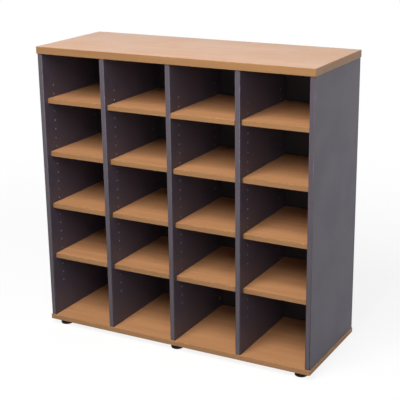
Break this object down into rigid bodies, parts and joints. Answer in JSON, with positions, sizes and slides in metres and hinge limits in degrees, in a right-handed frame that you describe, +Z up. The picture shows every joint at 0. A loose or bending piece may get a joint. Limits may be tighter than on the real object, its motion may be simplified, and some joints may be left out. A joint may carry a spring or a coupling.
{
  "type": "pigeonhole mail sorter",
  "caption": "Free-standing board pigeonhole unit for sorting mail: beech top, base and loose shelves on pins between charcoal uprights, on levelling feet.",
  "frame": {"origin": "on the floor under the middle of the unit, between the levelling feet", "axes": "+Z up, -Y towards the open front, +X to the right as seen from the front"},
  "size_m": [1.039, 0.393, 1.0354],
  "materials": {
    "beech_board": "satin melamine face with a fine straight beech grain, matching edge band",
    "charcoal_board": "matt charcoal melamine with a fine pebble texture, matching edge band",
    "back_board": "dark charcoal faced thin board",
    "black_plastic": "moulded black plastic",
    "zinc": "zinc-plated steel and die-cast zinc"
  },
  "bodies": {
    "carcass": {"top_panel": "beech_board", "base_panel": "beech_board", "back_panel": "back_board", "left_side": "charcoal_board", "cam_left_side": "zinc", "cam_bolt_left_side": "zinc", "divider_1": "charcoal_board", "cam_divider_1": "zinc", "cam_bolt_divider_1": "zinc", "divider_2": "charcoal_board", "cam_divider_2": "zinc", "cam_bolt_divider_2": "zinc", "divider_3": "charcoal_board", "cam_divider_3": "zinc", "cam_bolt_divider_3": "zinc", "right_side": "charcoal_board", "cam_right_side": "zinc", "cam_bolt_right_side": "zinc", "foot_insert_front_left": "zinc", "foot_insert_front_middle": "zinc", "foot_insert_front_right": "zinc", "foot_insert_rear_left": "zinc", "foot_insert_rear_middle": "zinc", "foot_insert_rear_right": "zinc"},
    "shelf_column1_row1": {"shelf_column1_row1": "beech_board"},
    "shelf_column1_row2": {"shelf_column1_row2": "beech_board"},
    "shelf_column1_row3": {"shelf_column1_row3": "beech_board"},
    "shelf_column1_row4": {"shelf_column1_row4": "beech_board"},
    "shelf_column2_row1": {"shelf_column2_row1": "beech_board"},
    "shelf_column2_row2": {"shelf_column2_row2": "beech_board"},
    "shelf_column2_row3": {"shelf_column2_row3": "beech_board"},
    "shelf_column2_row4": {"shelf_column2_row4": "beech_board"},
    "shelf_column3_row1": {"shelf_column3_row1": "beech_board"},
    "shelf_column3_row2": {"shelf_column3_row2": "beech_board"},
    "shelf_column3_row3": {"shelf_column3_row3": "beech_board"},
    "shelf_column3_row4": {"shelf_column3_row4": "beech_board"},
    "shelf_column4_row1": {"shelf_column4_row1": "beech_board"},
    "shelf_column4_row2": {"shelf_column4_row2": "beech_board"},
    "shelf_column4_row3": {"shelf_column4_row3": "beech_board"},
    "shelf_column4_row4": {"shelf_column4_row4": "beech_board"},
    "foot_pad_front_left": {"foot_pad_front_left": "black_plastic"},
    "foot_stem_front_left": {"foot_stem_front_left": "zinc"},
    "foot_pad_front_middle": {"foot_pad_front_middle": "black_plastic"},
    "foot_stem_front_middle": {"foot_stem_front_middle": "zinc"},
    "foot_pad_front_right": {"foot_pad_front_right": "black_plastic"},
    "foot_stem_front_right": {"foot_stem_front_right": "zinc"},
    "foot_pad_rear_left": {"foot_pad_rear_left": "black_plastic"},
    "foot_stem_rear_left": {"foot_stem_rear_left": "zinc"},
    "foot_pad_rear_middle": {"foot_pad_rear_middle": "black_plastic"},
    "foot_stem_rear_middle": {"foot_stem_rear_middle": "zinc"},
    "foot_pad_rear_right": {"foot_pad_rear_right": "black_plastic"},
    "foot_stem_rear_right": {"foot_stem_rear_right": "zinc"}
  },
  "joints": [
    {"name": "shelf_column1_row1_slide", "type": "slide", "parent": "carcass", "child": "shelf_column1_row1", "axis": [0, -1, 0], "range_m": [-0.004, 0.116]},
    {"name": "shelf_column1_row2_slide", "type": "slide", "parent": "carcass", "child": "shelf_column1_row2", "axis": [0, -1, 0], "range_m": [-0.004, 0.116]},
    {"name": "shelf_column1_row3_slide", "type": "slide", "parent": "carcass", "child": "shelf_column1_row3", "axis": [0, -1, 0], "range_m": [0, 0.12]},
    {"name": "shelf_column1_row4_slide", "type": "slide", "parent": "carcass", "child": "shelf_column1_row4", "axis": [0, -1, 0], "range_m": [-0.001, 0.119]},
    {"name": "shelf_column2_row1_slide", "type": "slide", "parent": "carcass", "child": "shelf_column2_row1", "axis": [0, -1, 0], "range_m": [-0.003, 0.117]},
    {"name": "shelf_column2_row2_slide", "type": "slide", "parent": "carcass", "child": "shelf_column2_row2", "axis": [0, -1, 0], "range_m": [-0.003, 0.117]},
    {"name": "shelf_column2_row3_slide", "type": "slide", "parent": "carcass", "child": "shelf_column2_row3", "axis": [0, -1, 0], "range_m": [-0.003, 0.117]},
    {"name": "shelf_column2_row4_slide", "type": "slide", "parent": "carcass", "child": "shelf_column2_row4", "axis": [0, -1, 0], "range_m": [-0.009, 0.111]},
    {"name": "shelf_column3_row1_slide", "type": "slide", "parent": "carcass", "child": "shelf_column3_row1", "axis": [0, -1, 0], "range_m": [-0.003, 0.117]},
    {"name": "shelf_column3_row2_slide", "type": "slide", "parent": "carcass", "child": "shelf_column3_row2", "axis": [0, -1, 0], "range_m": [-0.003, 0.117]},
    {"name": "shelf_column3_row3_slide", "type": "slide", "parent": "carcass", "child": "shelf_column3_row3", "axis": [0, -1, 0], "range_m": [-0.011, 0.109]},
    {"name": "shelf_column3_row4_slide", "type": "slide", "parent": "carcass", "child": "shelf_column3_row4", "axis": [0, -1, 0], "range_m": [-0.022, 0.098]},
    {"name": "shelf_column4_row1_slide", "type": "slide", "parent": "carcass", "child": "shelf_column4_row1", "axis": [0, -1, 0], "range_m": [-0.001, 0.119]},
    {"name": "shelf_column4_row2_slide", "type": "slide", "parent": "carcass", "child": "shelf_column4_row2", "axis": [0, -1, 0], "range_m": [-0.001, 0.119]},
    {"name": "shelf_column4_row3_slide", "type": "slide", "parent": "carcass", "child": "shelf_column4_row3", "axis": [0, -1, 0], "range_m": [-0.005, 0.115]},
    {"name": "shelf_column4_row4_slide", "type": "slide", "parent": "carcass", "child": "shelf_column4_row4", "axis": [0, -1, 0], "range_m": [-0.011, 0.109]},
    {"name": "foot_front_left_level", "type": "slide", "parent": "carcass", "child": "foot_pad_front_left", "axis": [0, 0, -1], "range_m": [0, 0.01]},
    {"name": "foot_front_left_turn", "type": "hinge", "parent": "foot_pad_front_left", "child": "foot_stem_front_left", "pos_m": [-0.474, -0.1605, 0.016], "axis": [0, 0, -1], "range_deg": [0, 2880]},
    {"name": "foot_front_middle_level", "type": "slide", "parent": "carcass", "child": "foot_pad_front_middle", "axis": [0, 0, -1], "range_m": [0, 0.01]},
    {"name": "foot_front_middle_turn", "type": "hinge", "parent": "foot_pad_front_middle", "child": "foot_stem_front_middle", "pos_m": [0, -0.1605, 0.016], "axis": [0, 0, -1], "range_deg": [0, 2880]},
    {"name": "foot_front_right_level", "type": "slide", "parent": "carcass", "child": "foot_pad_front_right", "axis": [0, 0, -1], "range_m": [0, 0.01]},
    {"name": "foot_front_right_turn", "type": "hinge", "parent": "foot_pad_front_right", "child": "foot_stem_front_right", "pos_m": [0.474, -0.1605, 0.016], "axis": [0, 0, -1], "range_deg": [0, 2880]},
    {"name": "foot_rear_left_level", "type": "slide", "parent": "carcass", "child": "foot_pad_rear_left", "axis": [0, 0, -1], "range_m": [0, 0.01]},
    {"name": "foot_rear_left_turn", "type": "hinge", "parent": "foot_pad_rear_left", "child": "foot_stem_rear_left", "pos_m": [-0.474, 0.1265, 0.016], "axis": [0, 0, -1], "range_deg": [0, 2880]},
    {"name": "foot_rear_middle_level", "type": "slide", "parent": "carcass", "child": "foot_pad_rear_middle", "axis": [0, 0, -1], "range_m": [0, 0.01]},
    {"name": "foot_rear_middle_turn", "type": "hinge", "parent": "foot_pad_rear_middle", "child": "foot_stem_rear_middle", "pos_m": [0, 0.1265, 0.016], "axis": [0, 0, -1], "range_deg": [0, 2880]},
    {"name": "foot_rear_right_level", "type": "slide", "parent": "carcass", "child": "foot_pad_rear_right", "axis": [0, 0, -1], "range_m": [0, 0.01]},
    {"name": "foot_rear_right_turn", "type": "hinge", "parent": "foot_pad_rear_right", "child": "foot_stem_rear_right", "pos_m": [0.474, 0.1265, 0.016], "axis": [0, 0, -1], "range_deg": [0, 2880]}
  ],
  "couplings": [
    {"joint": "foot_front_left_turn", "follows": "foot_front_left_level", "rad_per_m": 5026.5},
    {"joint": "foot_front_middle_turn", "follows": "foot_front_middle_level", "rad_per_m": 5026.5},
    {"joint": "foot_front_right_turn", "follows": "foot_front_right_level", "rad_per_m": 5026.5},
    {"joint": "foot_rear_left_turn", "follows": "foot_rear_left_level", "rad_per_m": 5026.5},
    {"joint": "foot_rear_middle_turn", "follows": "foot_rear_middle_level", "rad_per_m": 5026.5},
    {"joint": "foot_rear_right_turn", "follows": "foot_rear_right_level", "rad_per_m": 5026.5}
  ]
}
